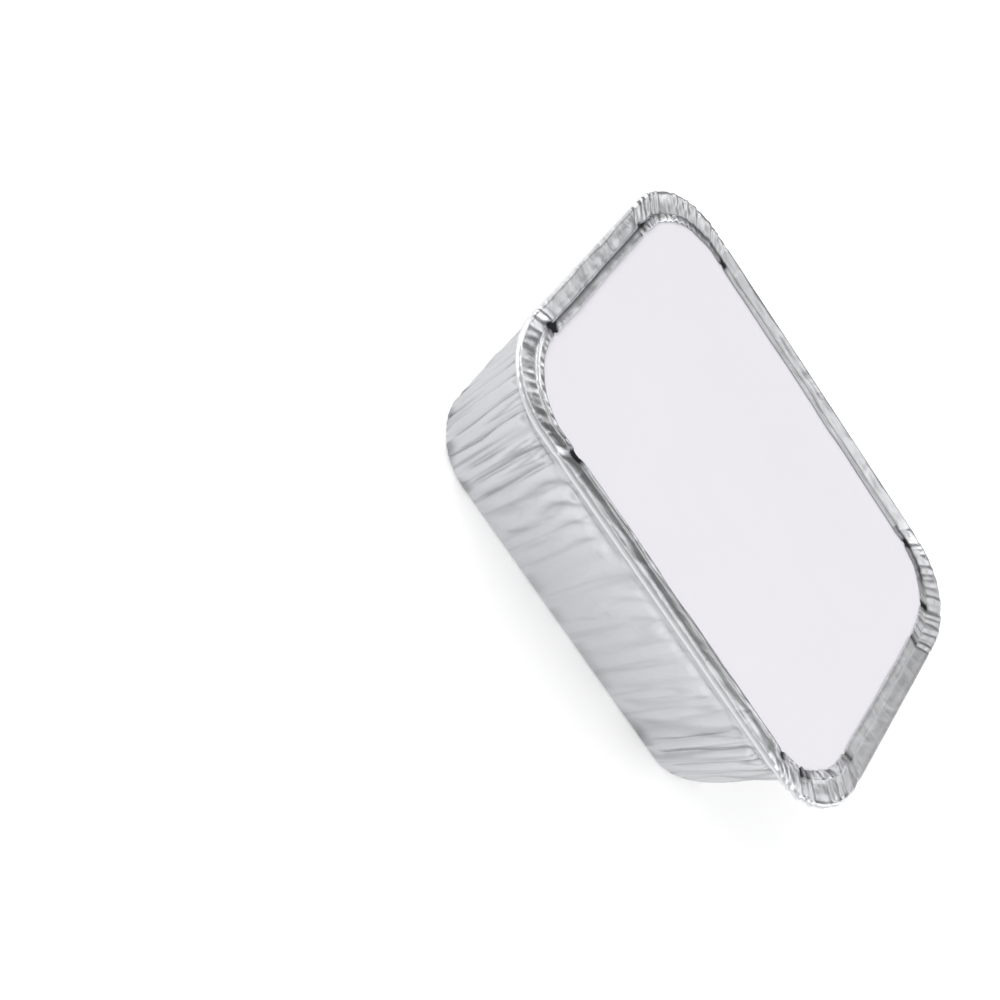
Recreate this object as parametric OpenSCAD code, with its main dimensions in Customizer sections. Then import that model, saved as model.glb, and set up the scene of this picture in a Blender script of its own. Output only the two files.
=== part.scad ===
// Oblong foil food container with its board lid crimped in place.
// The tray is one pressed sheet of aluminium foil: an embossed base, pleated
// walls, a shoulder, a flange, and a rim that is folded over the lid's edge
// and gathered at the corners. The lid is a flat board held by that fold.
// The origin is the middle of the base, on the surface the container stands on.

/* [Container] */
// Length over the closed rim
rim_l = 180; // [170:5:200]
// Width over the closed rim
rim_w = 130; // [120:5:150]
// Corner radius of the closed rim, seen from above
rim_r = 27; // [25:1:32]
// Height from the table to the top of the folded rim
height = 53; // [40:1:65]
// Thickness of the foil
foil_t = 0.1; // [0.08:0.02:0.16]

/* [Base] */
// How far the base edge stands in from the rim on the two long sides
base_in_side = 15; // [13:0.5:17]
// How far the base edge stands in from the rim on the two short sides
base_in_end = 15.5; // [13:0.5:17]
// Corner radius of the base
base_r = 22; // [20:0.5:24]
// Radius where the base turns up into the wall
turn_r = 2.4; // [1.5:0.1:3.5]
// Width of the flat border that the container stands on
border_w = 6; // [4:0.5:8]
// Width of the embossed bead inside the border
bead_w = 4.5; // [3.5:0.5:6]
// Height of the embossed bead
bead_h = 1.8; // [1:0.1:2.5]
// How far the middle panel is raised off the table
panel_rise = 0.7; // [0.3:0.1:0.9]

/* [Wall pleats] */
// Pleats along each long side, between the corner gathers
long_pleats = 14; // [10:2:18]
// Pleats along each short side, between the corner gathers
short_pleats = 8; // [6:2:12]
// How far a pleat stands in or out of the wall
pleat_h = 0.85; // [0.3:0.05:1]
// How unevenly high the pleats end
pleat_stagger = 1.3; // [0:0.1:2]
// How much weaker the pleats are at the middle of a long side
pleat_calm = 0.45; // [0:0.05:0.8]

/* [Shoulder and flange] */
// Depth of the shoulder below the rim's top
shoulder_drop = 8; // [6:0.5:11]
// Width of the shoulder's small ledge
ledge_w = 1.4; // [1:0.1:2]
// Width of the flange that the lid rests on
flange_w = 6.6; // [5.5:0.1:7.5]

/* [Folded rim] */
// Width of the folded strip on the long sides, seen from above
strip_side = 8.5; // [8.2:0.1:10]
// Width of the folded strip on the short sides, seen from above
strip_end = 9.6; // [9:0.1:11]
// Corner radius of the strip's inner edge
strip_r = 22; // [20:1:25]
// Height of the rolled hem along the strip's inner edge
hem_h = 1.1; // [0.9:0.05:1.3]
// Width of the rolled hem on the long sides
hem_w = 1.9; // [1.5:0.1:2.2]
// How many times wider the hem is on the short sides
hem_end = 1.65; // [1:0.05:1.8]
// Height of the groove between the strip and the hem, above the lid
groove_h = 0.45; // [0.4:0.05:0.6]
// How far the corner gathers stand in or out of the rim
gather_h = 0.32; // [0.1:0.02:0.36]

/* [Lid] */
// Thickness of the lid board
lid_t = 0.6; // [0.4:0.05:0.8]
// Gap between the lid's edge and the outside of the rim
lid_gap = 1.4; // [1.2:0.1:1.8]

/* [Hidden] */
foil_colour = [0.80, 0.81, 0.82];
board_colour = [0.93, 0.93, 0.95];
seat_play = 0.02;

// Levels above the table
lid_top = height - hem_h - 0.15;
seat = lid_top - lid_t - 2 * seat_play;
under = seat - foil_t;
shoulder = height - shoulder_drop;
base_l = rim_l - 2 * base_in_end;
base_w = rim_w - 2 * base_in_side;

// Columns run round the tray: corner, side, corner, side and so on.
// A corner run has a short straight lead, a quarter arc and another lead.
arc_cols = 24;
lead_cols = 4;
coarse_step = 4;
corner_cols = arc_cols + 2 * lead_cols;
side_cols = [2 * long_pleats, 2 * short_pleats, 2 * long_pleats, 2 * short_pleats];
COLS = [for (q = [0:3]) each concat(
    [for (j = [0:corner_cols - 1]) [q, true, j]],
    [for (j = [0:side_cols[q] - 1]) [q, false, j / side_cols[q], j]])];
n_cols = len(COLS);

// Which columns a ring of points uses. Each set holds all of the set before.
BASE_SET = 0;
RIM_SET = 1;
WALL_SET = 2;
function uses(set, c) = set == WALL_SET || c % coarse_step == 0 || (set == RIM_SET && COLS[c][1]);
USED = [for (set = [BASE_SET:WALL_SET]) [for (c = [0:n_cols - 1]) if (uses(set, c)) c]];
// For each set, the place in its ring of the last used column up to column c
PLACE = [for (set = [BASE_SET:WALL_SET])
    [for (c = 0, k = 0; c < n_cols; c = c + 1, k = c < n_cols && uses(set, c) ? k + 1 : k) k]];

// Uneven strength of each pleat and gather
uneven = rands(0.55, 1, n_cols, 41);
ragged = rands(-1, 1, n_cols, 7);

function lerp(a, b, t) = a + (b - a) * t;
function unit(v) = v / norm(v);

// Point and outward direction on a rounded rectangle at a corner column
function corner_point(q, j, hx, hy, r) =
    let (
        k = j - lead_cols,
        pitch = r * PI / 2 / arc_cols,
        turn = 90 * q + 90 * min(max(k, 0), arc_cols) / arc_cols,
        run = pitch * (min(k, 0) + max(k - arc_cols, 0)),
        cx = (q == 0 || q == 3 ? 1 : -1) * (hx - r),
        cy = (q < 2 ? 1 : -1) * (hy - r)
    )
    [cx + r * cos(turn) - run * sin(turn), cy + r * sin(turn) + run * cos(turn), cos(turn), sin(turn)];

// Point and outward direction on a rounded rectangle at any column
function plan_point(col, hx, hy, r) = col[1]
    ? corner_point(col[0], col[2], hx, hy, r)
    : lerp(corner_point(col[0], corner_cols, hx, hy, r),
        corner_point((col[0] + 1) % 4, 0, hx, hy, r), col[2]);

// Pleats: a zigzag on the sides, a wave of four columns in the corners. On the
// long sides, which follow even corners, they fade towards the middle.
corner_wave = [-1, 0, 1, 0];
function calm(c) = COLS[c][0] % 2 == 0 ? 1 - pleat_calm * pow(sin(180 * COLS[c][2]), 2) : 1;
function pleat_at(c) = uneven[c] * (COLS[c][1]
    ? corner_wave[COLS[c][2] % 4]
    : calm(c) * (COLS[c][3] % 2 == 0 ? -1 : 1));
// Gathers: a sharp zigzag in the corners only
function gather_at(c) = COLS[c][1] && COLS[c][2] > 0
    ? uneven[c] * (COLS[c][2] % 2 == 0 ? -1 : 1)
    : 0;

// One ring of the tray: half length, half width, corner radius, level, then
// the shares of pleat, stagger, gather outwards and gather upwards, and the set
function ring(hx, hy, r, z, pleat = 0, stagger = 0, out = 0, up = 0, set = RIM_SET) =
    [hx, hy, r, z, pleat, stagger, out, up, set];
function base_ring(inset, z) =
    ring(base_l / 2 - inset, base_w / 2 - inset, base_r - inset, z, set = BASE_SET);
function wall_ring(z, pleat, stagger) =
    let (
        t = (z - turn_r) / (shoulder - turn_r),
        inset = flange_w + ledge_w
    )
    ring(lerp(base_l / 2, rim_l / 2 - inset, t), lerp(base_w / 2, rim_w / 2 - inset, t),
        lerp(base_r, rim_r - inset / 3, t), z, pleat, stagger, set = WALL_SET);
function rim_ring(inset, z, out = 0, up = 0) =
    ring(rim_l / 2 - inset, rim_w / 2 - inset, rim_r - inset / 3, z, out = out, up = up);
// A ring a share t of the way over the folded strip, then a number of hem
// widths back outwards
function strip_ring(t, back, z, out = 0, up = 0) =
    ring(rim_l / 2 - strip_end * t + hem_end * hem_w * back, rim_w / 2 - strip_side * t + hem_w * back,
        lerp(rim_r, strip_r, t) + (1 + hem_end) / 2 * hem_w * back, z, out = out, up = up);

// Outer face of the sheet, from the base's middle to the hem
SHEET = [
    base_ring(border_w + bead_w, panel_rise),
    base_ring(border_w + 0.7 * bead_w, bead_h),
    base_ring(border_w + 0.35 * bead_w, bead_h),
    base_ring(border_w, 0),
    base_ring(turn_r, 0),
    base_ring(0.3 * turn_r, 0.3 * turn_r),
    wall_ring(turn_r, 0.3, 0),
    wall_ring(4 * turn_r, 1, 1),
    wall_ring(shoulder - 3, 1, 1),
    wall_ring(shoulder, 0, 0),
    rim_ring(flange_w, shoulder + ledge_w / 2),
    rim_ring(flange_w, under - 0.7),
    rim_ring(flange_w - 0.7, under),
    rim_ring(2.6, under),
    rim_ring(0.8, under - 0.35, out = 0.5, up = 0.4),
    rim_ring(0, height - 1.2, out = 1),
    rim_ring(0.5, height - 0.4, out = 0.8, up = 0.3),
    strip_ring(0.22, 0, height, up = 0.8),
    strip_ring(1, 1.15, lid_top + groove_h, up = 0.7)
];
// The hem is the sheet's edge rolled tight, so it is a solid bead
HEM = [
    strip_ring(1, 0.95, lid_top + hem_h, out = 0.4, up = 0.5),
    strip_ring(1, 0.3, lid_top + 0.95 * hem_h, out = 0.7, up = 0.5),
    strip_ring(1, 0, lid_top + 0.5 * hem_h, out = 1),
    strip_ring(1, 0.1, lid_top + seat_play, out = 1),
    strip_ring(1, 0.9, lid_top + seat_play)
];

// The inner face: each ring of the sheet moved in by the foil's thickness,
// square to the sheet, with a mitre where the section bends
function way(i) = unit([SHEET[i][1], SHEET[i][3]] - [SHEET[i - 1][1], SHEET[i - 1][3]]);
function mitre(a, b) = (a + b) * foil_t / (1 + a * b);
function left_of(d) = [-d[1], d[0]];
function way_in(i) = i == 0 ? [0, 1] : left_of(way(i));
function way_out(i) = i == len(SHEET) - 1 ? way_in(i) : left_of(way(i + 1));
function inner_ring(i) =
    let (
        m = mitre(way_in(i), way_out(i)),
        o = SHEET[i]
    )
    [o[0] + m[0], o[1] + m[0], o[2] + m[0], o[3] + m[1], o[4], o[5], o[6], o[7], o[8]];
INNER = [for (i = [len(SHEET) - 1:-1:0]) inner_ring(i)];
RINGS = concat(SHEET, HEM, INNER);
n_rings = len(RINGS);

// Points of one ring, with pleats and gathers
function ring_points(o) = [for (c = USED[o[8]])
    let (
        p = plan_point(COLS[c], o[0], o[1], o[2]),
        push = o[4] * pleat_h * pleat_at(c) + o[6] * gather_h * gather_at(c),
        lift = o[5] * pleat_stagger * ragged[c] + o[7] * gather_h * abs(gather_at(c))
            * (COLS[c][2] % 2 == 0 ? -1 : 1)
    )
    [p[0] + push * p[2], p[1] + push * p[3], o[3] + lift]];

// First point of each ring; point 0 is the middle of the base's outer face
FIRST = [for (i = 0, k = 1; i < n_rings; k = k + len(USED[RINGS[i][8]]), i = i + 1) k];
last_point = FIRST[n_rings - 1] + len(USED[RINGS[n_rings - 1][8]]);
function at(i, c) = FIRST[i] + PLACE[RINGS[i][8]][c];
function after(set, k) = USED[set][(k + 1) % len(USED[set])];
function turned(face, over) = over ? [face[0], face[2], face[1]] : face;

// Faces between ring i and the next: one triangle on each step of the finer
// ring and one on each step of the coarser. Where both are alike, the diagonal
// runs the same way on both faces of the sheet, so the thickness stays even.
function band(i) =
    let (
        lower = RINGS[i][8],
        upper = RINGS[i + 1][8],
        inner = i >= len(SHEET),
        fine_low = lower == upper ? !inner : lower > upper,
        f = fine_low ? i : i + 1,
        s = fine_low ? i + 1 : i,
        fs = RINGS[f][8],
        ss = RINGS[s][8]
    )
    concat(
        [for (k = [0:len(USED[fs]) - 1])
            turned([at(f, USED[fs][k]), at(s, USED[fs][k]), at(f, after(fs, k))], !fine_low)],
        [for (k = [0:len(USED[ss]) - 1])
            turned([at(s, USED[ss][k]), at(s, after(ss, k)), at(f, after(ss, k))], !fine_low)]);

// Fans that close the middle of the base on both faces
function fan(i, pole, over) = [for (k = [0:len(USED[BASE_SET]) - 1])
    turned([pole, at(i, USED[BASE_SET][k]), at(i, after(BASE_SET, k))], over)];

module tray() {
    points = concat([[0, 0, panel_rise]], [for (o = RINGS) each ring_points(o)],
        [[0, 0, panel_rise + foil_t]]);
    faces = concat(fan(0, 0, false), [for (i = [0:n_rings - 2]) each band(i)],
        fan(n_rings - 1, last_point, true));
    color(foil_colour) polyhedron(points, faces, convexity = 8);
}

// The board's outline follows the rim, one gap inside it
module lid() {
    r = rim_r - lid_gap;
    l = rim_l - 2 * lid_gap;
    w = rim_w - 2 * lid_gap;
    color(board_colour) translate([0, 0, seat + seat_play]) linear_extrude(lid_t) {
        square([l - 2 * r, w], center = true);
        square([l, w - 2 * r], center = true);
        for (x = [-1, 1], y = [-1, 1]) {
            translate([x * (l / 2 - r), y * (w / 2 - r)]) circle(r, $fn = 96);
        }
    }
}

tray();
lid();
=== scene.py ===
# %% [markdown]
# # A closed foil food container
# A takeaway container is two things only: a tray pressed from one sheet of
# aluminium foil, and a board lid that the tray's rim is folded over. The CAD
# model gives both at their real size. This script keeps those places and adds
# what the eye looks for: pleats with soft crests and sharp valleys, gathers
# round the corners, a rolled hem, crinkled metal and coated board.

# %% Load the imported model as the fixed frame
import math
import bpy
import numpy as np
from mathutils import Matrix, Vector


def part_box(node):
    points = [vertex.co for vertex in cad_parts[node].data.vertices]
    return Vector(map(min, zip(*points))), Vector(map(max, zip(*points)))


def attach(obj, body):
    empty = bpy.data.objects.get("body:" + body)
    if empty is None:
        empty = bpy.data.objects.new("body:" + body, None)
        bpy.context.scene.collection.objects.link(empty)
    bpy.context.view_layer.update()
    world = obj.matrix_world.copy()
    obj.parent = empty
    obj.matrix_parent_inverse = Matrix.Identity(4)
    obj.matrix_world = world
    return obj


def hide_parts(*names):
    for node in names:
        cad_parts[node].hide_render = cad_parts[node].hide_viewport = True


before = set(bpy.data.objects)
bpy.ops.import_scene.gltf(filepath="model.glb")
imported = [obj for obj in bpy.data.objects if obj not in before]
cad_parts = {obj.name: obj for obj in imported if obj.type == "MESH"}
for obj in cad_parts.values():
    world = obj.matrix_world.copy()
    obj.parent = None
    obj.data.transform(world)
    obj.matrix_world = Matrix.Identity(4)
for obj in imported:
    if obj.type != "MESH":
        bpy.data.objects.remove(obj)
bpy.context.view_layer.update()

MM = 0.001
print("nodes:", sorted(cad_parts))

# %% [markdown]
# ## Sizes
# Every size follows from the two CAD nodes. The lid board gives the rim,
# because its edge lies one small gap inside the fold, and its top face gives
# the level that the hem rests on. The rest are widths of the pressed sheet.

# %% Driving sizes in metres
LID_LOW, LID_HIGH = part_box("lid")
LID_GAP = 1.4 * MM
RIM_X = LID_HIGH.x + LID_GAP
RIM_Y = LID_HIGH.y + LID_GAP
RIM_R = 27 * MM
LID_TOP = LID_HIGH.z
SEAT = LID_LOW.z
HEM_H = 1.1 * MM
TOP = LID_TOP + HEM_H + 0.15 * MM
FOIL = 0.1 * MM
BASE_X = RIM_X - 15.5 * MM
BASE_Y = RIM_Y - 15 * MM
BASE_R = 22 * MM
TURN_R = 2.4 * MM
BORDER_W = 6 * MM
BEAD_W = 4.5 * MM
BEAD_H = 1.8 * MM
PANEL_RISE = 0.7 * MM
SHOULDER = TOP - 8 * MM
LEDGE_W = 1.4 * MM
FLANGE_W = 6.6 * MM
UNDER = SEAT - 0.12 * MM
STRIP_SIDE = 8.5 * MM
STRIP_END = 9.6 * MM
STRIP_R = 22 * MM
print("rim %.1f x %.1f mm, top at %.2f mm" % (2 * RIM_X / MM, 2 * RIM_Y / MM, TOP / MM))

# %% [markdown]
# ## Columns round the tray
# The whole tray is one grid. Its columns run round the container and its rows
# run along the sheet's section. A column is a number s that grows round the
# rim: each corner takes 32 steps of s and each side takes two steps a pleat.
# Four grid lines to each step are enough to draw a crest as a curve.

# %% Column numbers
ARC_STEPS = 24
LEAD_STEPS = 4
CORNER_STEPS = ARC_STEPS + 2 * LEAD_STEPS
LONG_PLEATS = 14
SHORT_PLEATS = 8
LINES_PER_STEP = 4
RUN_STEPS = np.array([CORNER_STEPS, 2 * LONG_PLEATS, CORNER_STEPS, 2 * SHORT_PLEATS] * 2)
RUN_START = np.concatenate([[0], np.cumsum(RUN_STEPS)])
STEPS = int(RUN_START[-1])


def run_of(s):
    """For column numbers s: the run they fall in, and how far along it they
    are. Runs 0, 2, 4 and 6 are corners and the odd ones are sides."""
    wrapped = np.mod(s, STEPS)
    run = np.searchsorted(RUN_START, wrapped, side="right") - 1
    return run, wrapped - RUN_START[run]


def corner_line(quadrant, j, hx, hy, r):
    """Points of a rounded rectangle near one corner, with outward directions.
    A quarter circle of radius r round the corner's centre, and a straight
    lead on each side whose steps are as long as the arc's."""
    k = j - LEAD_STEPS
    turn = (quadrant + np.clip(k, 0, ARC_STEPS) / ARC_STEPS) * math.pi / 2
    along = r * math.pi / 2 / ARC_STEPS * (np.minimum(k, 0) + np.maximum(k - ARC_STEPS, 0))
    cx = np.where((quadrant == 0) | (quadrant == 3), 1, -1) * (hx - r)
    cy = np.where(quadrant < 2, 1, -1) * (hy - r)
    c, d = np.cos(turn), np.sin(turn)
    return np.array([cx + r * c - along * d, cy + r * d + along * c, c + 0 * r, d + 0 * r])


def outline(s, hx, hy, r):
    """Points round a rounded rectangle with half sizes hx and hy and corner
    radius r, for column numbers s. Sides are straight lines from the end of
    one corner to the start of the next. Returns x, y and the outward
    direction's x and y."""
    run, local = run_of(s)
    quadrant = run // 2
    in_corner = run % 2 == 0
    start = corner_line(quadrant, np.where(in_corner, local, CORNER_STEPS), hx, hy, r)
    end = corner_line((quadrant + 1) % 4, 0 * s, hx, hy, r)
    t = np.where(in_corner, 0, local / RUN_STEPS[run])
    return start + (end - start) * t


COLUMNS = np.arange(STEPS * LINES_PER_STEP) / LINES_PER_STEP
print("columns round the tray:", COLUMNS.size)

# %% [markdown]
# ## Smooth noise
# Nothing pressed from foil is even. A noise that is smooth and closes on
# itself round the tray gives the wander of pleats, the dents in the walls and
# the ragged hem. Random values sit on a coarse lattice and a smooth curve
# runs between them.

# %% Noise round the tray
RANDOM = np.random.default_rng(20)


def smooth(t):
    """The curve 3t^2 - 2t^3, clipped to run from 0 to 1."""
    t = np.clip(t, 0, 1)
    return t * t * (3 - 2 * t)


def lattice_noise(u, v, count_u, count_v):
    """Noise from -1 to 1. u runs from 0 to 1 round the tray and closes on
    itself, v runs from 0 to 1 along the section. Lattice values are mixed
    with the smooth curve in both directions."""
    values = RANDOM.uniform(-1, 1, (count_v + 2, count_u))
    a = np.mod(u, 1) * count_u
    b = np.clip(v, 0, 1) * count_v
    ia, ib = np.floor(a).astype(int), np.floor(b).astype(int)
    fa, fb = smooth(a - ia), smooth(b - ib)
    ja, jb = (ia + 1) % count_u, np.minimum(ib + 1, count_v + 1)
    ia = ia % count_u
    low = values[ib, ia] * (1 - fa) + values[ib, ja] * fa
    high = values[jb, ia] * (1 - fa) + values[jb, ja] * fa
    return low * (1 - fb) + high * fb


# %% [markdown]
# ## The section of the sheet
# The section is a list of rings from the middle of the base, under the base,
# up the wall, over the fold and round the hem. Each ring is a rounded
# rectangle, so its half length, half width, corner radius and level say
# where it lies. Cutting the corners of this list once, as a whole array,
# rounds every bend as the press does.

# %% Rings of the outer face
# Columns of a ring: hx, hy, r, z, then how much of the gathers it takes outwards
# and upwards, and how far it moves up where the hem is pressed flush
def ring(hx, hy, r, z, out=0.0, up=0.0, flush=0.0):
    """One ring of the section."""
    return (hx, hy, r, z, out, up, flush)


def base_ring(inset, z, share=1.0):
    """A ring under the base, inside its outline by inset, then scaled."""
    return ring((BASE_X - inset) * share, (BASE_Y - inset) * share, (BASE_R - inset) * share, z)


def wall_ring(t):
    """A ring a share t of the way from the turn at the base to the shoulder."""
    inset = FLANGE_W + LEDGE_W
    return ring(BASE_X + (RIM_X - inset - BASE_X) * t, BASE_Y + (RIM_Y - inset - BASE_Y) * t,
                BASE_R + (RIM_R - inset / 3 - BASE_R) * t, TURN_R + (SHOULDER - TURN_R) * t)


def rim_ring(inset, z, out=0.0, up=0.0):
    """A ring inside the rim's outer edge by inset."""
    return ring(RIM_X - inset, RIM_Y - inset, RIM_R - inset / 3, z, out, up)


def strip_ring(t, back, z):
    """A ring a share t of the way from the rim to the hem, then back outwards,
    which is further on the short sides, where the hem is wider."""
    return ring(RIM_X - STRIP_END * t + HEM_END * back, RIM_Y - STRIP_SIDE * t + back,
                RIM_R + (STRIP_R - RIM_R) * t + 1.2 * back, z)


BASE_KEYS = [
    base_ring(BORDER_W + BEAD_W, PANEL_RISE, 0.15),
    base_ring(BORDER_W + BEAD_W, PANEL_RISE),
    base_ring(BORDER_W + 0.7 * BEAD_W, BEAD_H),
    base_ring(BORDER_W + 0.35 * BEAD_W, BEAD_H),
    base_ring(BORDER_W, 0),
    base_ring(TURN_R, 0),
    base_ring(0.3 * TURN_R, 0.3 * TURN_R),
]
WALL_SHARES = [0, 0.05, 0.12, 0.25, 0.4, 0.55, 0.7, 0.82, 0.89, 0.93, 0.965, 1]
WALL_KEYS = [wall_ring(t) for t in WALL_SHARES]
HEM_W = 1.9 * MM
HEM_END = 1.65
GROOVE = LID_TOP + 0.3 * MM


def slope_ring(share, out=0.0, up=0.0, flush=0.0):
    """A ring on the folded strip, a share of the way from its crest to the
    groove beside the hem. The crest lies nearer the edge on the short sides."""
    crest = np.array(strip_ring(0.2, 0, TOP - 0.1 * MM))
    crest[0] += 0.06 * STRIP_END
    foot = np.array(strip_ring(1, HEM_W + 0.25 * MM, GROOVE + 0.05 * MM))
    hx, hy, r, z = (crest + (foot - crest) * share)[:4]
    return ring(hx, hy, r, z, out, up, flush * MM)


def hem_ring(share, rise, out=1.0, up=1.0, flush=0.0):
    """A ring on the rolled hem: a share of its width back from its inner edge,
    and rise over the lid."""
    hx, hy, r, z = strip_ring(1, share * HEM_W, LID_TOP + rise * MM)[:4]
    return ring(hx, hy, r, z, out, up, flush * MM)


RIM_KEYS = [
    rim_ring(FLANGE_W + 0.2 * MM, SHOULDER + 0.5 * LEDGE_W),
    rim_ring(FLANGE_W, SHOULDER + 1.4 * MM),
    rim_ring(FLANGE_W, UNDER - 0.7 * MM),
    rim_ring(FLANGE_W - 0.7 * MM, UNDER),
    rim_ring(2.6 * MM, UNDER),
    rim_ring(0.8 * MM, UNDER - 0.2 * MM, 0.5, -0.4),
    rim_ring(0.05 * MM, UNDER + 0.1 * MM, 0.9, -0.2),
    rim_ring(0, TOP - 1.0 * MM, 1),
    rim_ring(0.35 * MM, TOP - 0.4 * MM, 0.9, 0.3),
    rim_ring(0.9 * MM, TOP - 0.12 * MM, 0.5, 0.6),
    slope_ring(0, 0, 0.8),
    slope_ring(0.3, 0, 1, 0.22),
    slope_ring(0.6, 0, 1, 0.2),
    slope_ring(0.88, 0, 0.8, 0.14),
    slope_ring(1, 0, 0.6, 0.18),
]
HEM_KEYS = [
    hem_ring(1.0, 0.17, 0.2, 0.4, 0.4),
    hem_ring(1.0, 0.45, 0.3, 0.5, 0.15),
    hem_ring(0.99, 0.8, 0.4, 0.7, -0.2),
    hem_ring(0.94, 1.14, 0.5, 0.9, -0.51),
    hem_ring(0.66, 1.22, 0.7, 1, -0.58),
    hem_ring(0.32, 1.12, 0.9, 1, -0.48),
    hem_ring(0.06, 0.88, 1.0, 1, -0.38),
    hem_ring(-0.03, 0.5, 1.0, 0.8, -0.1),
    hem_ring(0.02, 0.22, 1.0, 0.5),
    hem_ring(0.6, 0.1, 0.6, 0.3),
]


def cut_corners(keys):
    """Chaikin's rule as one array step: each edge gives the points a quarter
    and three quarters along it. The first and last rings stay."""
    k = np.array(keys)
    cut = np.stack([0.75 * k[:-1] + 0.25 * k[1:], 0.25 * k[:-1] + 0.75 * k[1:]], axis=1)
    return np.concatenate([k[:1], cut.reshape(-1, k.shape[1])[1:-1], k[-1:]])


OUTER = cut_corners(BASE_KEYS + WALL_KEYS + RIM_KEYS + HEM_KEYS)
print("rings of the outer face:", len(OUTER))

# %% [markdown]
# The inner face follows the outer one square to the section, with fewer rings:
# every second on the base and every fifth on the wall, but nearly every one in
# the bends that turn outwards. Nobody sees it while the lid is on, so it may lie
# a few thicknesses deep under creases, where the two faces would cross.

# %% Rings of the inner face
def sheet_normals(rings):
    """Unit directions into the sheet: the section's tangent turned left, with
    the tangent taken between the rings on both sides."""
    tangent = np.gradient(rings[:, [1, 3]], axis=0)
    tangent /= np.linalg.norm(tangent, axis=1, keepdims=True)
    return np.stack([-tangent[:, 1], tangent[:, 0]], axis=1)


def row_near(key):
    """The first of the two rows that the cut corners leave near a key ring."""
    return 2 * key - 1


WALL_FIRST = row_near(len(BASE_KEYS))
RIM_FIRST = row_near(len(BASE_KEYS) + len(WALL_KEYS))
STRIP_FIRST = RIM_FIRST + 18
HEM_FIRST = RIM_FIRST + 2 * len(RIM_KEYS)
# Rows that the inner face keeps in the rim, counted from the rim's first one
BENDS = np.array([-6, -4, -2, -1, 0, 2, 4, 5, 6, 7, 8, 10, 12, 14, 16, 18, 20, 22, 26])
BASE_EVERY = 2
WALL_EVERY = 5
inner_rows = np.concatenate([
    np.arange(0, WALL_FIRST, BASE_EVERY),
    np.arange(WALL_FIRST + WALL_EVERY, RIM_FIRST + BENDS[0], WALL_EVERY),
    RIM_FIRST + BENDS])[::-1]


def depth_of(rows):
    """How many times the foil's thickness the inner face lies below rows."""
    return np.where(rows < RIM_FIRST - 1, 3.0, np.where(rows > STRIP_FIRST - 3, 2.0, 1.0))[:, None]


into = sheet_normals(OUTER)[inner_rows] * FOIL * depth_of(inner_rows)
INNER = OUTER[inner_rows].copy()
INNER[:, :3] += into[:, :1]
INNER[:, 3] += into[:, 1]
RINGS = np.concatenate([OUTER, INNER])
ROW_OF = np.concatenate([np.arange(len(OUTER)), inner_rows])
print("rings in all:", len(RINGS))

# %% [markdown]
# ## Pleats
# When the press draws a flat sheet into a tray there is too much metal at
# the top of the wall, and it gathers into pleats. From outside each is a soft
# crest between two sharp valleys. Crests differ in height, lean and length,
# and more, smaller ones start under the shoulder and die out on the way down.

# %% Pleat height over columns and rows
PLEAT_H = 1.15 * MM
PLEAT_COUNT = STEPS
PLEAT_SIZE = RANDOM.uniform(0.55, 1.0, PLEAT_COUNT)
PLEAT_SKEW = RANDOM.uniform(0.65, 1.5, PLEAT_COUNT)
PLEAT_END = RANDOM.uniform(0.9, 0.985, PLEAT_COUNT)
PLEAT_POWER = 1.35


def crest(phase, skew=1.0):
    """0 in the valleys at phase 0 and 1, and 1 on the crest between them.
    The skew moves the crest to one side, as on a pleat pressed over."""
    p = np.power(np.clip(phase, 0, 1), skew)
    return 1 - np.power(np.abs(2 * p - 1), PLEAT_POWER)


def pleat_push(s, t):
    """How far the wall stands out, in metres, at columns s and shares t of
    the wall's height. A pleat is two steps wide on the sides and four in the
    corners. Its crest is its own size, and its end is its own height."""
    wander = 0.7 * lattice_noise(s / STEPS, t, 45, 3) * smooth(t / 0.2)
    run, local = run_of(s + wander)
    turns = local / np.where(run % 2 == 0, 4, 2)
    number = (RUN_START[run] + np.floor(turns).astype(int)) % PLEAT_COUNT
    height = crest(turns - np.floor(turns), PLEAT_SKEW[number]) * PLEAT_SIZE[number]
    main = 2 * height * smooth((PLEAT_END[number] - t) / 0.06) - smooth((0.97 - t) / 0.06)
    middle = np.where(run % 4 == 1, np.sin(np.pi * local / (2 * LONG_PLEATS)), 0)
    main = main * (1 - 0.55 * smooth(middle * 1.4 - 0.4))
    main = main * (0.25 + 0.75 * smooth(t / 0.16)) * smooth((t + 0.02) / 0.05)
    small = crest(np.mod(2 * turns + 0.3, 1)) - 0.5
    small = small * smooth((t - 0.45) / 0.4) * smooth((0.95 - t) / 0.05)
    small = small * lattice_noise(s / STEPS, t, 60, 1)
    return PLEAT_H * (main + 0.5 * small)


def wall_share(z):
    """How far up the wall a level is, from 0 at the turn to 1 at the shoulder."""
    return (z - TURN_R) / (SHOULDER - TURN_R)


# %% [markdown]
# ## Gathers
# Round each corner the folded strip has to shrink, so it crumples into short
# radial creases. They run from the outer edge to the hem and are deepest at
# the hem. Each corner was folded a little differently, so each has its own
# strength and spacing. Where the crimping tool's pads meet, a few creases
# close into deep tucks. Their dark notches in the hem are painted shadow,
# added to the foil's colour further on.

# %% Gather height over columns
GATHER_H = 0.4 * MM
GATHER_SIZE = RANDOM.uniform(0.35, 1.0, STEPS)
GATHER_CORNER = np.array([0.45, 0.8, 0.25, 1.0])
GATHER_STEPS = np.array([2.0, 2.0, 2.3, 3.2])
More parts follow.
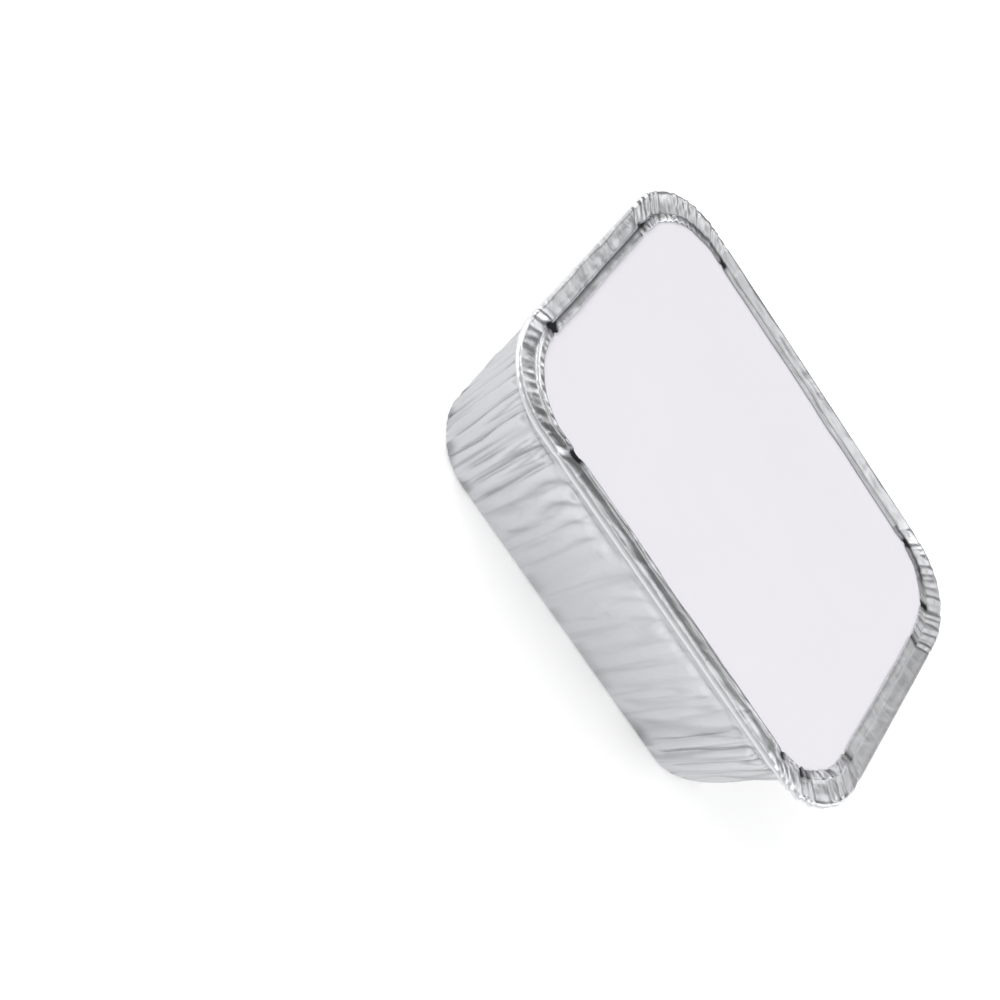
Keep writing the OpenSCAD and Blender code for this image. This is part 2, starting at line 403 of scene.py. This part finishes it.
# Corner number, steps into that corner, and depth of each tuck
TUCKS = np.array([
    (0, 2, 0.5), (0, 12.5, 0.9), (0, 27, 1.0),
    (1, 0.8, 1.0), (1, 29.5, 0.6),
    (2, 3.6, 1.7), (2, 32.4, 1.3),
    (3, 5.5, 0.8), (3, 11.5, 0.9), (3, 13.2, 0.6), (3, 29.5, 0.5)])
TUCK_PLACE = RUN_START[2 * TUCKS[:, 0].astype(int)] + TUCKS[:, 1]


def gather_wave(s, v):
    """From -1 to 1: creases two or three steps apart in the corners, none on the
    straight sides, for columns s and shares v of the way along the section."""
    wander = 1.1 * lattice_noise(s / STEPS, v, 72, 3) + 0.4 * lattice_noise(s / STEPS, v, 150, 14)
    run, local = run_of(s + wander)
    turns = local / GATHER_STEPS[run // 2]
    number = (RUN_START[run] + np.floor(turns).astype(int)) % STEPS
    height = 2 * crest(np.mod(turns, 1)) * GATHER_SIZE[number] - 1
    height = height + 0.3 * lattice_noise(s / STEPS, v, 430, 24)
    fade = smooth(local / 2.5) * smooth((CORNER_STEPS - local) / 2.5) * GATHER_CORNER[run // 2]
    return np.where(run % 2 == 0, height * fade, 0)


def tuck(s, width):
    """The deepest tuck near each column: a bell curve of that width in steps
    round the place of each tuck, as high as the tuck is deep."""
    apart = np.abs(s[..., None] - TUCK_PLACE)
    apart = np.minimum(apart, STEPS - apart)
    return np.max(TUCKS[:, 2] * np.exp(-(apart / width) ** 2), axis=-1)


# %% [markdown]
# ## The tray's mesh
# Now the rings, pleats and gathers meet. Outlines give the plain shape, and
# the waves push points along the outward direction or lift them. Every point
# knows its row and column, so each step below is one sum over the whole grid.

# %% Where each point of the grid lies
SECTION_STEPS = np.linalg.norm(np.diff(OUTER[:, [1, 3]], axis=0), axis=1)
SECTION_LENGTH = np.concatenate([[0], np.cumsum(SECTION_STEPS)])
print("sheet from the base's middle to its edge: %.1f mm" % (SECTION_LENGTH[-1] / MM))

rows = ROW_OF[:, None]
s = COLUMNS[None, :] + 0 * RINGS[:, :1]
hx, hy, r, z, out, up, flush = (RINGS[:, i:i + 1] for i in range(7))
x, y, nx, ny = outline(s, hx, hy, r)
u = s / STEPS
v = rows / len(OUTER) + 0 * s
outer_face = np.arange(len(RINGS))[:, None] < len(OUTER)
on_wall = (rows >= WALL_FIRST - 1) & (rows <= RIM_FIRST + 1)
on_strip = rows >= STRIP_FIRST
on_hem = rows >= HEM_FIRST
in_corner = run_of(s)[0] % 2 == 0
front, back = smooth(-1.3 * ny), smooth(1.3 * ny)
left, right = smooth(-1.3 * nx), smooth(1.3 * nx)
print("tray grid:", s.shape, "of which on the wall: %d rows" % on_wall.sum())

# %% [markdown]
# The wall stands out where a pleat does. Handling adds soft dents, and short
# creases as sharp as a line drawn with a thumbnail. Both are stronger towards
# the ends of a long side, because its middle gives way instead of creasing.

# %% How far the wall stands out
DENT_H = 0.15 * MM
CREASE_H = 0.2 * MM
LEAST_WORN = 0.35


def creased(u, v, count_u, count_v):
    """Noise with sharp ridges where a smooth noise passes through zero."""
    return 1 - 2 * np.abs(lattice_noise(u, v, count_u, count_v))


ends = LEAST_WORN + (1 - LEAST_WORN) * smooth(2 * np.abs(x) / RIM_X - 0.5)
dents = lattice_noise(u, v, 40, 12) + 0.6 * creased(u, v, 64, 16) + 0.35 * creased(u, v, 150, 14)
wall = pleat_push(s, wall_share(OUTER[ROW_OF, 3:4])) + DENT_H * (0.3 + 0.7 * ends) * dents
print("the wall stands %.2f mm in to %.2f mm out" % (-wall[WALL_FIRST:RIM_FIRST].min() / MM,
                                                     wall[WALL_FIRST:RIM_FIRST].max() / MM))

# %% [markdown]
# The rim stands out with its gathers. A tuck draws the edge in and pushes the
# hem outwards, and the hem's free edge is never quite straight.
# On the right and at the back the edge stands a little proud, because the
# fold there was pressed less tightly than at the front.

# %% How far the rim stands out
TUCK_EDGE = -0.35 * MM
TUCK_HEM = 0.6 * MM
RAGGED_W = 0.3 * MM
PROUD_RIGHT = 0.6 * MM
PROUD_BACK = 0.35 * MM
STRIP_BACK = 0.4 * MM
HEM_BACK = 0.5 * MM
wave = gather_wave(s, v)
ragged = lattice_noise(u, v, 70, 1)
tucked = np.minimum(tuck(s, 0.5), 1)
edge = smooth((rows - RIM_FIRST - 5) / 4) * smooth((STRIP_FIRST + 8 - rows) / 8)
rim = GATHER_H * out * wave + np.where(on_hem, TUCK_HEM, TUCK_EDGE) * out * tucked
rim = rim - RAGGED_W * ragged * smooth((rows - HEM_FIRST + 9) / 9)
rim = rim + STRIP_BACK * back * smooth((rows - STRIP_FIRST) / 10)
rim = rim + HEM_BACK * back * smooth((rows - HEM_FIRST - 4) / 8)
rim = rim + edge * (PROUD_RIGHT * right + PROUD_BACK * back)
print("the free edge wanders by %.2f mm" % (np.ptp(RAGGED_W * ragged[HEM_FIRST]) / MM))

# %% [markdown]
# The same gathers lift the strip, and small dimples keep its shine uneven.
# At the front and on the right the hem is pressed flush with the strip. In
# the corner between front and left the strip was folded less far down, so it
# climbs inwards instead of falling. On the right its middle sags a little.

# %% How far the strip rises
TUCK_DROP = 0.5 * MM
SAG = 0.2 * MM
BASE_WAVE = 0.1 * MM
DIMPLE_SOFT = 0.13 * MM
DIMPLE_SHARP = 0.07 * MM
DIMPLE_FINE = 0.05 * MM
CALM = 0.6
CLIMB_FOOT = 1.2 * MM
CLIMB_HEM = 0.6 * MM
CREST_DROP = 0.45 * MM
pressed = np.maximum(np.maximum(front, 1.05 * right), 0.35 * back)
near_corner = in_corner * smooth(-1.6 * nx) * smooth(-1.6 * ny)
dimples = DIMPLE_SOFT * lattice_noise(u, v, 60, 28) + DIMPLE_SHARP * creased(u, v, 130, 28)
dimples = dimples + DIMPLE_FINE * lattice_noise(u, v, 260, 30)
dimples = dimples * (1 - CALM * right) * (1 - CALM * near_corner)
climb = CLIMB_FOOT * np.clip((rows - STRIP_FIRST + 1) / 13, 0, 1) ** 1.7
climb = climb - CREST_DROP * smooth((rows - STRIP_FIRST + 6) / 5)
climb = np.where(on_hem, CLIMB_HEM * up * (1 - smooth((rows - HEM_FIRST - 11) / 4)), climb)
middle = smooth((rows - STRIP_FIRST) / 3) * smooth((HEM_FIRST - 1 - rows) / 6)
lift = up * (GATHER_H * wave - TUCK_DROP * tucked + dimples) + flush * pressed
lift = lift + near_corner * climb - SAG * middle * right
print("the strip's gathers rise by up to %.2f mm" % (GATHER_H * (up * wave).max() / MM))

# %% [markdown]
# The foil never touches the board from above, so the strip and the hem stay a
# small gap over the lid. The inner face takes the least push near each point,
# so that it stays below every crease. Where it faces the lid it lies level,
# and under the lid it stays below the board.

# %% Points of both faces
HEM_GAP = 0.1 * MM
STRIP_GAP = 0.24 * MM
SEAT_GAP = 0.04 * MM
MOST_IN = -0.9 * MM


def sunk(values):
    """Rows of both faces, where the inner one takes the least value that the
    outer one has within three rows and two columns."""
    outer = values[:len(OUTER)]
    wide = np.pad(outer, ((3, 3), (0, 0)), mode="edge")
    least = np.min([wide[k:k + len(OUTER)] for k in range(7)], axis=0)
    least = np.min([np.roll(least, k, axis=1) for k in range(-2, 3)], axis=0)
    return np.concatenate([outer, least[inner_rows]])


over_lid = LID_TOP + np.where(rows < HEM_FIRST + 15, STRIP_GAP, HEM_GAP)
lift = np.where(on_strip, np.maximum(lift, over_lid - z), lift)
level = np.where(on_strip, LID_TOP + HEM_GAP, np.minimum(z + lift, SEAT - SEAT_GAP))
lift = np.where((on_strip | (rows < RIM_FIRST + 12)) & ~outer_face, level - z, lift)
lift = lift + np.where(rows < WALL_FIRST - 6, BASE_WAVE * lattice_noise(u, v, 24, 14), 0)
line = creased(u, v, 200, 5)
push = sunk(np.where(on_wall, wall, rim) - CREASE_H * on_wall * ends * line)
push = np.where(rows > RIM_FIRST + 8, np.maximum(push, MOST_IN), push)
POINTS = np.stack([x + push * nx, y + push * ny, z + lift], axis=-1)
LEVELS = POINTS[..., 2] / MM
print("lowest point %.2f mm, highest %.2f mm" % (LEVELS.min(), LEVELS.max()))

# %% [markdown]
# Light hardly reaches the bottom of a crevice, so shade is painted into the
# foil's colour: one number for each point darkens it and dulls its shine.
# It is 1 at the bottom of a tuck, high in the groove beside the hem and in a
# band round the back corners, and lower along the wall's creases, in its
# pleat valleys and at its foot. More painted shade dims the wall, its left
# end, the shoulder at the front and the strip on the right. Everything else
# is dimmed a little too, except the strip at the front left corner and the
# crest round every corner, which are painted lighter.

# %% How much shade is painted into the foil at each point
# Where the painted shade of the groove lies beside the hem at the front, left and back
GROOVE_SHADE_W = 0.6 * MM
GROOVE_SHADE_FRONT = 0.3 * MM
GROOVE_SHADE_LEFT = 0.9 * MM
GROOVE_SHADE_BACK = -0.4 * MM
BACK_CORNER_SHADE_AT = 1.5 * MM
BACK_CORNER_SHADE_W = 1.6 * MM
# How dark the shade painted at the back corners, tucks, creases, valleys and foot is
BACK_CORNER_SHADE = 0.8
TUCK_SHADE = 1.3
CREASE_SHADE = 0.25
VALLEY_SHADE = 0.14
FOOT_SHADE = 0.4
# How much painted shade dims the wall, its left end, the shoulder at the
# front, and the strip, crest and hem on the right
WALL_SHADE = 0.11
WALL_LEFT_SHADE = 0.06
SHOULDER_SHADE = 0.14
RIGHT_STRIP_SHADE = 0.14
RIGHT_CREST_SHADE = 0.14
RIGHT_HEM_SHADE = 0.08
# How bright the foil is left outside the places that are painted lighter
DIMMED_LEVEL = 0.835
from_groove = (SECTION_LENGTH[ROW_OF] - SECTION_LENGTH[HEM_FIRST])[:, None]
# Painted shade in the groove beside the hem: strongest on the left, faint at the front and on the
# right, none at the front left corner
groove_shade_strength = (np.clip(0.68 - 0.8 * nx, 0.1, 0.88) * (1 - front) + 0.25 * front) * (1 - near_corner)
groove_shade_at = GROOVE_SHADE_FRONT * front + GROOVE_SHADE_LEFT * left + GROOVE_SHADE_BACK * back
groove_shade = groove_shade_strength * np.exp(-((from_groove - groove_shade_at) / GROOVE_SHADE_W) ** 2)
# Painted shade in a band over the groove and hem round the two back corners
back_corner_shade = BACK_CORNER_SHADE * in_corner * smooth(3 * ny - 1.7)
back_corner_shade = back_corner_shade * np.exp(-((from_groove - BACK_CORNER_SHADE_AT) / BACK_CORNER_SHADE_W) ** 2)
# Painted shadow in each tuck, nearly black on the strip and hem
tuck_shade = TUCK_SHADE * tuck(s, 0.85) * smooth((rows - HEM_FIRST + 6) / 5)
# Painted shade in the wall's pleat valleys and along its sharp creases
valley = smooth(-1.2 * wall / PLEAT_H - 0.3)
crease_shade = on_wall * ends * (CREASE_SHADE * smooth(2 * line - 1) + VALLEY_SHADE * valley)
# Painted shade in dashes at the foot of the wall, where the pleats reach the turn
foot = np.exp(-(wall_share(z) / 0.07) ** 2) * smooth(3 * lattice_noise(u, v, 110, 2))
foot = FOOT_SHADE * ends * foot
shoulder = smooth((rows - RIM_FIRST + 8) / 6) * smooth((STRIP_FIRST - 2 - rows) / 4)
ridge = np.exp(-((rows - STRIP_FIRST - 3) / 2.5) ** 2)
# Painted shade that dims the whole wall, more at its left end, and the shoulder at the front
broad_shade = on_wall * (WALL_SHADE + WALL_LEFT_SHADE * smooth(-2 * x / RIM_X - 0.7))
broad_shade = broad_shade + SHOULDER_SHADE * front * shoulder
# Painted shade on the strip, crest and hem on the right
right_strip_mask = right * (1 - 0.8 * smooth(-2.5 * ny)) * (rows >= STRIP_FIRST - 2)
broad_shade = broad_shade + right_strip_mask * (RIGHT_STRIP_SHADE + RIGHT_CREST_SHADE * ridge + RIGHT_HEM_SHADE * on_hem)
gap = np.clip(groove_shade + back_corner_shade + tuck_shade + crease_shade + foot + broad_shade, 0, 1)
# Painted light: the strip at the front left corner and the crest round every corner skip the
# dimming
corner_light = np.maximum(near_corner * (rows >= STRIP_FIRST - 2), 0.6 * in_corner * ridge)
PAINTED_SHADE = 1 - (1 - gap) * (DIMMED_LEVEL + (1 - DIMMED_LEVEL) * corner_light)
print("points darker than half: %.1f percent" % (100 * (PAINTED_SHADE > 0.5).mean()))

# %% [markdown]
# A grid becomes a mesh by joining neighbours. The columns close on
# themselves, and a single point at each end closes the base on both faces.
# The sheet's flat position is kept as a UV map, so that lines rolled
# into the foil follow it up the walls.

# %% Grid to mesh
def grid_faces(rows, cols):
    """Quads between neighbouring rows and columns, with the last column
    joined to the first, wound so that they face outwards."""
    i, j = np.meshgrid(np.arange(rows - 1), np.arange(cols), indexing="ij")
    a = i * cols + j
    b = i * cols + (j + 1) % cols
    return np.stack([a, b, b + cols, a + cols], axis=-1).reshape(-1, 4)


def fan_faces(pole, first, cols, over):
    """Triangles from one pole to a ring that starts at point first."""
    j = np.arange(cols)
    a, b = first + j, first + (j + 1) % cols
    pair = (a, b) if over else (b, a)
    return np.stack([np.full(cols, pole), *pair], axis=-1)


def closed_mesh(name, grid, pole_low, pole_high, flat, gap):
    """A closed mesh from a grid of points and its two poles. flat holds the
    UV position of each grid point, and the last argument how much shade is
    painted into each point's colour."""
    rows, cols = grid.shape[:2]
    verts = np.concatenate([grid.reshape(-1, 3), [pole_low, pole_high]])
    quads = grid_faces(rows, cols)
    low = fan_faces(rows * cols, 0, cols, False)
    high = fan_faces(rows * cols + 1, (rows - 1) * cols, cols, True)
    corners = np.concatenate([quads.ravel(), low.ravel(), high.ravel()])
    sizes = np.concatenate([np.full(len(quads), 4), np.full(2 * cols, 3)])
    mesh = bpy.data.meshes.new(name)
    mesh.vertices.add(len(verts))
    mesh.vertices.foreach_set("co", verts.ravel())
    mesh.loops.add(len(corners))
    mesh.loops.foreach_set("vertex_index", corners)
    mesh.polygons.add(len(sizes))
    mesh.polygons.foreach_set("loop_start", np.concatenate([[0], np.cumsum(sizes)[:-1]]))
    mesh.polygons.foreach_set("use_smooth", np.ones(len(sizes), bool))
    uv = np.concatenate([flat.reshape(-1, 2), np.zeros((2, 2))])[corners]
    mesh.uv_layers.new(name="sheet").data.foreach_set("uv", uv.ravel())
    # Painted shade for each point, kept as an attribute that darkens the foil's colour
    shade = np.concatenate([gap.ravel(), [0, 0]])
    mesh.attributes.new("gap", "FLOAT", "POINT").data.foreach_set("value", shade)
    mesh.update(calc_edges=True)
    mesh.validate()
    made = bpy.data.objects.new(name, mesh)
    bpy.context.scene.collection.objects.link(made)
    print(name, "has", len(mesh.polygons), "faces")
    return made


def developed():
    """Flat positions of the points: each lies where its outline does, moved
    outwards by the length of sheet between it and the base's turn."""
    length = SECTION_LENGTH - SECTION_LENGTH[2 * len(BASE_KEYS) - 2]
    reach = np.maximum(length, 0)[ROW_OF][:, None]
    s = COLUMNS[None, :] + 0 * RINGS[:, :1]
    hx = np.minimum(RINGS[:, :1], BASE_X)
    hy = np.minimum(RINGS[:, 1:2], BASE_Y)
    r = np.minimum(RINGS[:, 2:3], BASE_R)
    x, y, nx, ny = outline(s, hx, hy, r)
    return np.stack([x + reach * nx, y + reach * ny], axis=-1)


tray = closed_mesh("foil_tray", POINTS, (0, 0, PANEL_RISE), (0, 0, PANEL_RISE + FOIL),
                   developed(), PAINTED_SHADE)

# %% [markdown]
# ## The lid's mesh
# The board is cut flat, but the crimped rim presses on its edge, so the
# middle crowns by a fraction of a millimetre. Its rings run from the middle
# of the underside, out and round the cut edge, and back over the top.

# %% Points of the lid
LID_RINGS_FACE = 22
LID_EDGE_R = 0.12 * MM
CROWN = 0.25 * MM
SWAY = 0.12 * MM


def lid_rings():
    """Rings of the board: share of the outline, and inset and level."""
    share = smooth(np.linspace(0.03, 1, LID_RINGS_FACE)) ** 0.7
    flat = 0 * share
    edge = np.radians([-60, -30, 30, 60])
    inset = LID_EDGE_R * (1 - np.cos(edge))
    half = (LID_TOP - SEAT) / 2
    z = np.sign(edge) * (half - LID_EDGE_R) + LID_EDGE_R * np.sin(edge)
    shares = np.concatenate([share, np.ones(4), share[::-1]])
    insets = np.concatenate([flat + LID_EDGE_R, inset, flat + LID_EDGE_R])
    levels = (LID_TOP + SEAT) / 2 + np.concatenate([flat - half, z, flat + half])
    return shares[:, None], insets[:, None], levels[:, None]


def lid_points():
    """The board's points: rounded rectangles scaled by their share, and a
    crown that is highest in the middle and fades out under the strip."""
    share, inset, z = lid_rings()
    s = COLUMNS[None, ::2] + 0 * share
    hx, hy = (LID_HIGH.x - inset) * share, (LID_HIGH.y - inset) * share
    x, y = outline(s, hx, hy, (RIM_R - LID_GAP - inset) * share)[:2]
    middle = smooth((0.88 - share) / 0.7)
    sway = SWAY * lattice_noise(s / STEPS, share + 0 * s, 9, 3) * smooth(share / 0.3)
    return np.stack([x, y, z + middle * (CROWN + sway)], axis=-1)


LID_POINTS = lid_points()
lid = closed_mesh("lid_board", LID_POINTS, (0, 0, SEAT + CROWN), (0, 0, LID_TOP + CROWN),
                  LID_POINTS[..., :2], 0 * LID_POINTS[..., 0])

# %% [markdown]
# ## Shader maths as plain expressions
# A material is a graph of nodes, but sums read better as sums. Signal wraps
# one socket, so that 1 - mask or a * b adds the Math node it needs. Any other
# node comes from Graph.add, which takes its type, settings and inputs.

# %% Signal, Graph and Finish
class Signal:
    """A number that varies over a surface, with arithmetic."""

    def __init__(self, graph, socket):
        self.graph = graph
        self.socket = socket

    def _math(self, operation, *values):
        node = self.graph.add("ShaderNodeMath", {"operation": operation}, dict(enumerate(values)))
        return Signal(self.graph, node.outputs[0])

    def __add__(self, other):
        return self._math("ADD", self, other)

    def __radd__(self, other):
        return self._math("ADD", other, self)

    def __sub__(self, other):
        return self._math("SUBTRACT", self, other)

    def __rsub__(self, other):
        return self._math("SUBTRACT", other, self)

    def __mul__(self, other):
        return self._math("MULTIPLY", self, other)

    def __rmul__(self, other):
        return self._math("MULTIPLY", other, self)

    def clamp(self):
        """The number, held between 0 and 1."""
        return Signal(self.graph, self.graph.add("ShaderNodeClamp", {}, {0: self}).outputs[0])


class Graph:
    """A graph of shader nodes under construction."""

    def __init__(self, tree):
        self.nodes = tree.nodes
        self.links = tree.links

    def add(self, kind, settings, inputs):
        """A new node: its settings are set first, then its inputs are fed."""
        node = self.nodes.new(kind)
        for key, value in settings.items():
            setattr(node, key, value)
        for key, value in inputs.items():
            self.feed(node.inputs[key], value)
        return node

    def feed(self, socket, value):
        """Links a signal or a socket to a socket, or sets a plain value."""
        if isinstance(value, Signal):
            value = value.socket
        if isinstance(value, bpy.types.NodeSocket):
            self.links.new(value, socket)
        else:
            socket.default_value = value

    def ramp(self, value, stops):
        """A grey ramp: stops are pairs of position and brightness."""
        node = self.add("ShaderNodeValToRGB", {}, {0: value})
        elements = node.color_ramp.elements
        while len(elements) < len(stops):
            elements.new(0.5)
        for element, (position, grey) in zip(elements, stops):
            element.position = position
            element.color = (grey, grey, grey, 1)
        return Signal(self, node.outputs[0])


class Finish(Graph):
    """A material under construction."""

    def __init__(self, name):
        self.material = bpy.data.materials.new(name)
        self.material.use_nodes = True
        super().__init__(self.material.node_tree)
        self.shader = self.nodes["Principled BSDF"]

    def place(self, scale=(1, 1, 1), sheet=False):
        """Object coordinates, or the flat sheet's own, scaled."""
        source = "UV" if sheet else "Object"
        coords = self.add("ShaderNodeTexCoord", {}, {}).outputs[source]
        return self.add("ShaderNodeMapping", {}, {"Vector": coords, "Scale": scale}).outputs[0]

    def own(self, name):
        """The piece's own attribute of that name."""
        node = self.add("ShaderNodeAttribute", {"attribute_name": name}, {})
        return Signal(self, node.outputs["Fac"])

    def noise(self, vector, scale, detail=2.0, roughness=0.5, distortion=0.0):
        node = self.add("ShaderNodeTexNoise", {}, {
            "Vector": vector, "Scale": scale, "Detail": detail,
            "Roughness": roughness, "Distortion": distortion})
        return Signal(self, node.outputs[0])

    def cells(self, vector, scale):
        """Distance to the nearest of a set of random points."""
        node = self.add("ShaderNodeTexVoronoi", {}, {"Vector": vector, "Scale": scale})
        return Signal(self, node.outputs["Distance"])

    def mix(self, amount, low, high):
        """The colour low where amount is 0, and high where it is 1."""
        node = self.add("ShaderNodeMix", {"data_type": "RGBA"}, {0: amount, 6: low, 7: high})
        return node.outputs[2]

    def bump(self, height, distance, below=None):
        """A normal tilted by a height from 0 to 1 times distance, over the
        normal below."""
        inputs = {"Height": height, "Distance": distance, "Strength": 1.0}
        if below is not None:
            inputs["Normal"] = below
        return self.add("ShaderNodeBump", {}, inputs).outputs[0]

    def set(self, **values):
        """Feeds the shader's inputs, with _ for each blank in their names."""
        for key, value in values.items():
            self.feed(self.shader.inputs[key.replace("_", " ")], value)


# %% [markdown]
# ## Foil
# Rolled aluminium is bright but not a mirror: the rolls leave fine parallel
# lines, the press leaves flat little facets, and handling leaves crinkles.
# Three bumps at three scales make the light break up as it does on the real
# sheet. Roughness drifts a little, and the lines widen the shine across them.

# %% Foil material
FOIL_DIM = (0.755, 0.762, 0.784, 1)
FOIL_BRIGHT = (0.838, 0.843, 0.86, 1)
# The colour that painted shade darkens the foil towards
FOIL_PAINTED_SHADE = (0.03, 0.03, 0.035, 1)
# Cells or waves of each pattern to the metre, and the height of each bump
FACETS = 190
CRINKLES = 260
FOLDS = 75
DRIFTS = 40
ROLL_LINES = (60, 9000, 60)
FOLD_H = 0.45 * MM
CRINKLE_H = 0.16 * MM
ROLL_H = 0.006 * MM


def foil_finish():
    """Foil: three bumps, a base colour and a roughness that drift, and the
    shade painted into the colour from the tray's own attribute."""
    f = Finish("foil")
    here = f.place()
    facets = f.cells(here, FACETS)
    crinkle = f.noise(here, CRINKLES, 3.0, 0.55, 0.6)
    fold = f.noise(here, FOLDS, 2.0, 0.5, 1.2)
    rolled = f.noise(f.place(scale=ROLL_LINES, sheet=True), 1.0, 2.0, 0.6)
    drift = f.noise(here, DRIFTS, 3.0)
    normal = f.bump(fold, FOLD_H)
    normal = f.bump(facets * 0.6 + crinkle * 0.5, CRINKLE_H, normal)
    normal = f.bump(rolled, ROLL_H, normal)
    bare = f.mix(drift, FOIL_DIM, FOIL_BRIGHT)
    # Painted shade from the tray's attribute darkens the colour and dulls the shine
    gap = f.own("gap")
    f.set(
        Metallic=1.0,
        Base_Color=f.mix(gap, bare, FOIL_PAINTED_SHADE),
        Roughness=0.14 + 0.16 * drift + 0.05 * rolled + 0.36 * gap,
        Normal=normal)
    return f.material


# %% [markdown]
# ## Coated board
# The lid's face is board with a thin white coat. It is nearly matt with a
# faint sheen, slightly cool, and shows the board's fibres only as a soft
# mottle. The edge is cut, but the fold hides it.

# %% Board material
BOARD_DIM = (0.737, 0.725, 0.766, 1)
BOARD_BRIGHT = (0.766, 0.751, 0.794, 1)


def board_finish():
    """Board: a white coat whose colour is mottled by the fibres under it."""
    f = Finish("board")
    here = f.place()
    fibre = f.noise(here, 900, 4.0, 0.6)
    mottle = f.noise(here, 45, 3.0, 0.5, 0.4)
    tone = (0.35 * fibre + 0.65 * mottle).clamp()
    f.set(
        Base_Color=f.mix(tone, BOARD_DIM, BOARD_BRIGHT),
        Roughness=0.46 + 0.1 * fibre,
        Normal=f.bump(fibre * 0.4 + mottle, 0.05 * MM))
    return f.material


tray.data.materials.append(foil_finish())
lid.data.materials.append(board_finish())
print("materials:", [m.name for m in bpy.data.materials])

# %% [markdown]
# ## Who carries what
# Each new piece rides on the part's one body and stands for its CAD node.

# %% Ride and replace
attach(tray, "root")
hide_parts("tray")
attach(lid, "root")
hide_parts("lid")

# %% [markdown]
# ## Studio
# The container stands on a pale floor in a white room. The floor glows a
# little, as a sheet that is lit from below does, so that the foot of the wall
# has something bright to show.

# %% Floor
FLOOR_HALF = 4.0
FLOOR_GLOW = 0.26
FLOOR_DIM = (0.94, 0.94, 0.94, 1)
FLOOR_BRIGHT = (0.96, 0.96, 0.96, 1)


def floor_finish():
    """The floor's pale matt sheet, which glows evenly."""
    f = Finish("floor")
    grain = f.noise(f.place(), 30, 2.0)
    f.set(
        Base_Color=f.mix(grain, FLOOR_DIM, FLOOR_BRIGHT),
        Roughness=0.7,
        Emission_Color=(1, 1, 1, 1),
        Emission_Strength=FLOOR_GLOW)
    return f.material


FLOOR_POINTS = FLOOR_HALF * np.array([(-1, -1, 0), (1, -1, 0), (1, 1, 0), (-1, 1, 0)])
floor_mesh = bpy.data.meshes.new("floor")
floor_mesh.from_pydata(FLOOR_POINTS.tolist(), [], [(0, 1, 2, 3)])
floor = bpy.data.objects.new("floor", floor_mesh)
bpy.context.scene.collection.objects.link(floor)
floor.data.materials.append(floor_finish())

# %% [markdown]
# Foil has no look of its own: it shows what is round it. So the room is
# brightest in a band behind the container and grey overhead, which lets the
# strip round the lid run from dark at the front to light at the back, as flat
# foil does. A tall soft box at each side lights the ends, and a dark card over
# the back keeps one fold from burning out.

# %% Room light
class Room(Graph):
    """The world's graph of nodes."""

    def __init__(self, name):
        world = bpy.data.worlds.new(name)
        bpy.context.scene.world = world
        world.use_nodes = True
        super().__init__(world.node_tree)

    def direction(self):
        """The x, y and z of the direction that is looked in."""
        coords = self.add("ShaderNodeTexCoord", {}, {}).outputs["Generated"]
        split = self.add("ShaderNodeSeparateXYZ", {}, {0: coords})
        return [Signal(self, part) for part in split.outputs]


ROOM_LIGHT = 1.0
BOX_LIGHT = 2.0
CARD_SHADE = 0.85
# Brightness of the room from the front (0) to the back (1), and behind the
# container also from the left (0) to the right (1)
LEVEL_STOPS = [
    (0.0, 0.95), (0.3, 0.7), (0.36, 0.5), (0.72, 0.52), (0.79, 1.8), (0.84, 1.3),
    (0.875, 0.8), (0.9, 0.76), (0.92, 0.4), (0.95, 0.17), (1.0, 0.1)]
SIDE_STOPS = [
    (0.0, 0.55), (0.37, 0.65), (0.46, 0.6), (0.53, 0.34), (0.61, 0.33),
    (0.66, 0.5), (0.685, 0.64), (0.72, 0.45), (0.8, 0.4), (1.0, 0.6)]
room = Room("room")
dx, dy, dz = room.direction()
bands = room.ramp(0.5 + 0.5 * dy, LEVEL_STOPS)
behind = room.ramp(0.5 + 0.5 * dy, [(0.6, 0.0), (0.8, 1.0)])
side = 1 + behind * (2 * room.ramp(0.5 + 0.5 * dx, SIDE_STOPS) - 1)
boxes = room.ramp(dx * dx, [(0.2, 0.0), (0.36, 1.0)]) * room.ramp(dz, [(0.25, 0.0), (0.4, 1.0)])
boxes = boxes * room.ramp(0.5 + 0.5 * dy, [(0.25, 0.0), (0.38, 1.0), (0.74, 1.0), (0.82, 0.0)])
boxes = boxes * room.ramp(dx, [(0.0, 1.3), (0.1, 0.66)])
card = room.ramp(0.14 * dx + 0.785 * dy + 0.605 * dz, [(0.984, 0.0), (0.998, 1.0)])
light = ROOM_LIGHT * bands * side * (1 - CARD_SHADE * card) + BOX_LIGHT * boxes
background = room.nodes["Background"]
room.feed(background.inputs["Color"], (1, 1, 1, 1))
room.feed(background.inputs["Strength"], light)

# %% [markdown]
# ## Camera
# The photograph looks down on one long side from about forty degrees, and is
# turned so that the container's top points right. The camera's place, the
# point it aims at and its roll give that view, and the lens is as long as the
# photograph's mild perspective asks for.

# %% Camera
CAMERA_PLACE = Vector((-0.2176, -0.5761, 0.4842))
CAMERA_AIM = Vector((-0.0406, -0.0358, -0.0017))
CAMERA_ROLL = math.radians(66.9)
SENSOR_MM = 36
LENS_MM = 86.4
camera_data = bpy.data.cameras.new("camera")
camera_data.sensor_width = SENSOR_MM
camera_data.lens = LENS_MM
camera = bpy.data.objects.new("camera", camera_data)
bpy.context.scene.collection.objects.link(camera)
upright = (CAMERA_AIM - CAMERA_PLACE).to_track_quat("-Z", "Y").to_matrix()
rolled = upright @ Matrix.Rotation(CAMERA_ROLL, 3, "Z")
camera.matrix_world = Matrix.Translation(CAMERA_PLACE) @ rolled.to_4x4()
bpy.context.scene.camera = camera
bpy.context.scene.view_settings.view_transform = "Standard"
